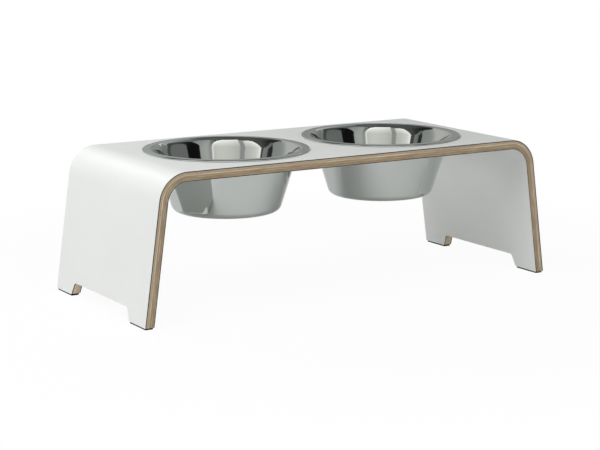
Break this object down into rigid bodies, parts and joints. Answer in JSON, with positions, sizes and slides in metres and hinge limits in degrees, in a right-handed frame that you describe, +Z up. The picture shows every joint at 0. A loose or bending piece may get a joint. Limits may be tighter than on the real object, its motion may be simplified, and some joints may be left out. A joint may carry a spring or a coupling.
{
  "type": "dog feeding station",
  "caption": "Low bent-plywood bench with white faces, splayed notched legs and round deck cut-outs that hold lift-out lipped steel bowls for a dog's food and water.",
  "frame": {"origin": "on the floor, under the middle of the deck", "axes": "+X along the bench's length, -Y towards the front edge, +Z up"},
  "size_m": [0.5934, 0.249, 0.1851],
  "materials": {
    "white_laminate": "satin",
    "veneer_long_grain": "sanded and oiled",
    "veneer_cross_grain": "sanded and oiled",
    "bowl_steel": "polished",
    "foot_pad": "matte"
  },
  "bodies": {
    "station": {"outer_laminate": "white_laminate", "veneer_1": "veneer_long_grain", "veneer_2": "veneer_cross_grain", "veneer_3": "veneer_long_grain", "veneer_4": "veneer_cross_grain", "veneer_5": "veneer_long_grain", "veneer_6": "veneer_cross_grain", "veneer_7": "veneer_long_grain", "inner_laminate": "white_laminate", "foot_pad_front_left": "foot_pad", "foot_pad_back_left": "foot_pad", "foot_pad_front_right": "foot_pad", "foot_pad_back_right": "foot_pad"},
    "bowl_left": {"bowl_left": "bowl_steel"},
    "bowl_right": {"bowl_right": "bowl_steel"}
  },
  "joints": [
    {"name": "bowl_left_lift", "type": "slide", "parent": "station", "child": "bowl_left", "axis": [0, 0, 1], "range_m": [0, 0.09]},
    {"name": "bowl_right_lift", "type": "slide", "parent": "station", "child": "bowl_right", "axis": [0, 0, 1], "range_m": [0, 0.09]}
  ]
}
